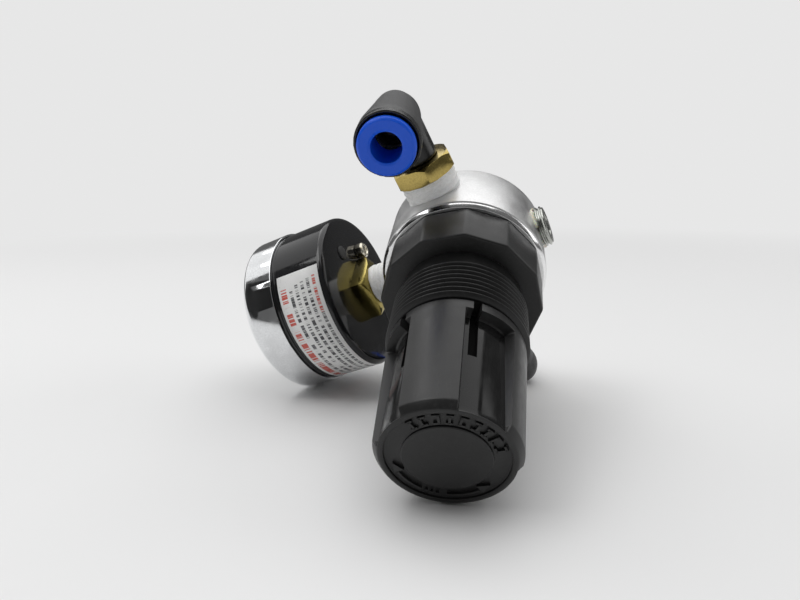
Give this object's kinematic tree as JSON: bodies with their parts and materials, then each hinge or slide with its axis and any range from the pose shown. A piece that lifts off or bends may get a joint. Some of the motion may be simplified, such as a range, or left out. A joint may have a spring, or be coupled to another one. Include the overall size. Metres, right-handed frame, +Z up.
{
  "type": "gas pressure regulator",
  "caption": "Compact gas pressure regulator with a pull-to-unlock knob, a back-mounted dial gauge and swivelling push-in tube elbows.",
  "frame": {"origin": "bottom centre of the bounding box, on the bench the regulator lies on", "axes": "+Z up from the bench; the regulator lies on its knob rim, gauge rim and inlet elbow, with its knob turned to -Y and down, its gauge to -X and its outlet up to +Y"},
  "size_m": [0.082, 0.1026, 0.0783],
  "materials": {
    "machined_body": "satin, turned",
    "black_plastic": "moulded, satin",
    "knob_plastic": "moulded, satin to gloss",
    "brass": "turned",
    "steel": "zinc plated",
    "plated_plug": "nickel plated",
    "rubber": "matte",
    "thread_tape": "soft wound tape",
    "elbow_plastic": "moulded, satin",
    "collet_plastic": "moulded",
    "gauge_enamel": "glossy black",
    "label_film": "printed film",
    "bright_ring": "polished",
    "clear_window": "clear",
    "dial_paint": "matte white, printed",
    "white_plastic": "moulded"
  },
  "bodies": {
    "regulator": {"body": "machined_body", "bonnet": "black_plastic", "range_spring": "steel", "slip_ring": "white_plastic", "diaphragm": "rubber", "valve_spring": "steel", "bottom_plug": "brass", "bottom_seal": "rubber", "pipe_plug": "plated_plug", "outlet_stud": "brass", "outlet_tape": "thread_tape", "outlet_stud_ring": "rubber", "inlet_stud": "brass", "inlet_tape": "thread_tape", "inlet_stud_ring": "rubber", "gauge_socket": "brass", "gauge_tape": "thread_tape", "gauge_case": "gauge_enamel", "gauge_label": "label_film", "gauge_screws": "brass", "gauge_vent": "rubber", "gauge_bezel": "bright_ring", "gauge_window": "clear_window", "gauge_dial": "dial_paint", "bourdon_tube": "brass", "movement_frame": "brass", "hairspring": "steel"},
    "screw": {"adjusting_screw": "steel", "thrust_washer": "brass", "screw_clip": "steel"},
    "knob": {"knob": "knob_plastic"},
    "nut": {"spring_nut": "brass"},
    "diaphragm_centre": {"diaphragm_plate": "steel", "relief_seat": "brass"},
    "valve": {"valve_poppet": "brass", "poppet_seal": "rubber"},
    "outlet_fitting": {"outlet_elbow": "elbow_plastic", "outlet_tube_seal": "rubber", "outlet_grip_ring": "steel", "outlet_guide_ring": "brass"},
    "outlet_release": {"outlet_collet": "collet_plastic"},
    "inlet_fitting": {"inlet_elbow": "elbow_plastic", "inlet_tube_seal": "rubber", "inlet_grip_ring": "steel", "inlet_guide_ring": "brass"},
    "inlet_release": {"inlet_collet": "collet_plastic"},
    "pointer": {"gauge_pointer": "black_plastic", "pointer_shaft": "brass"},
    "sector": {"sector_gear": "brass"},
    "link": {"movement_link": "brass"}
  },
  "joints": [
    {"name": "knob_turn", "type": "hinge", "parent": "regulator", "child": "screw", "pos_m": [0.01881, -0.03601, 0.0162], "axis": [0, 0.9088, 0.4172], "range_deg": [-1440, 2160]},
    {"name": "knob_pull", "type": "slide", "parent": "screw", "child": "knob", "axis": [0, -0.9088, -0.4172], "range_m": [0, 0.003]},
    {"name": "nut_travel", "type": "slide", "parent": "regulator", "child": "nut", "axis": [0, 0.9088, 0.4172], "range_m": [-0.004, 0.006], "deforming": ["range_spring"]},
    {"name": "diaphragm_travel", "type": "slide", "parent": "regulator", "child": "diaphragm_centre", "axis": [0, 0.9088, 0.4172], "range_m": [0, 0.0006], "stiffness_N_per_m": 2000, "springref_m": -0.0005, "deforming": ["diaphragm"]},
    {"name": "valve_lift", "type": "slide", "parent": "regulator", "child": "valve", "axis": [0, 0.9088, 0.4172], "range_m": [0, 0.0006], "stiffness_N_per_m": 1000, "springref_m": -0.0005, "deforming": ["valve_spring"]},
    {"name": "outlet_swivel", "type": "hinge", "parent": "regulator", "child": "outlet_fitting", "pos_m": [0.00727, 0.00315, 0.06465], "axis": [-0.3847, -0.3851, 0.8389], "continuous": true},
    {"name": "outlet_release_press", "type": "slide", "parent": "outlet_fitting", "child": "outlet_release", "axis": [-0.0419, 0.9152, 0.4009], "range_m": [0, 0.0008], "stiffness_N_per_m": 1500, "springref_m": -0.0005},
    {"name": "inlet_swivel", "type": "hinge", "parent": "regulator", "child": "inlet_fitting", "pos_m": [0.03066, 0.02657, 0.01364], "axis": [0.3847, 0.3851, -0.8389], "continuous": true},
    {"name": "inlet_release_press", "type": "slide", "parent": "inlet_fitting", "child": "inlet_release", "axis": [0.5555, -0.8224, -0.1228], "range_m": [0, 0.0008], "stiffness_N_per_m": 1500, "springref_m": -0.0005},
    {"name": "pointer_turn", "type": "hinge", "parent": "regulator", "child": "pointer", "pos_m": [-0.01857, 0.02121, 0.02532], "axis": [0.923, -0.1605, 0.3496], "range_deg": [0, 270], "stiffness_Nm_per_rad": 0.0005, "springref_deg": -57.3, "deforming": ["hairspring"]},
    {"name": "sector_turn", "type": "hinge", "parent": "regulator", "child": "sector", "pos_m": [-0.01672, 0.02884, 0.02967], "axis": [0.923, -0.1605, 0.3496], "range_deg": [-45, 0]},
    {"name": "link_swing", "type": "hinge", "parent": "sector", "child": "link", "pos_m": [-0.01823, 0.03177, 0.03215], "axis": [0.923, -0.1605, 0.3496], "range_deg": [0, 45]}
  ],
  "couplings": [
    {"joint": "knob_turn", "follows": "nut_travel", "rad_per_m": 6283.2},
    {"joint": "valve_lift", "follows": "diaphragm_travel", "ratio": 1},
    {"joint": "sector_turn", "follows": "pointer_turn", "ratio": -0.16667},
    {"joint": "link_swing", "follows": "pointer_turn", "ratio": 0.16667}
  ]
}
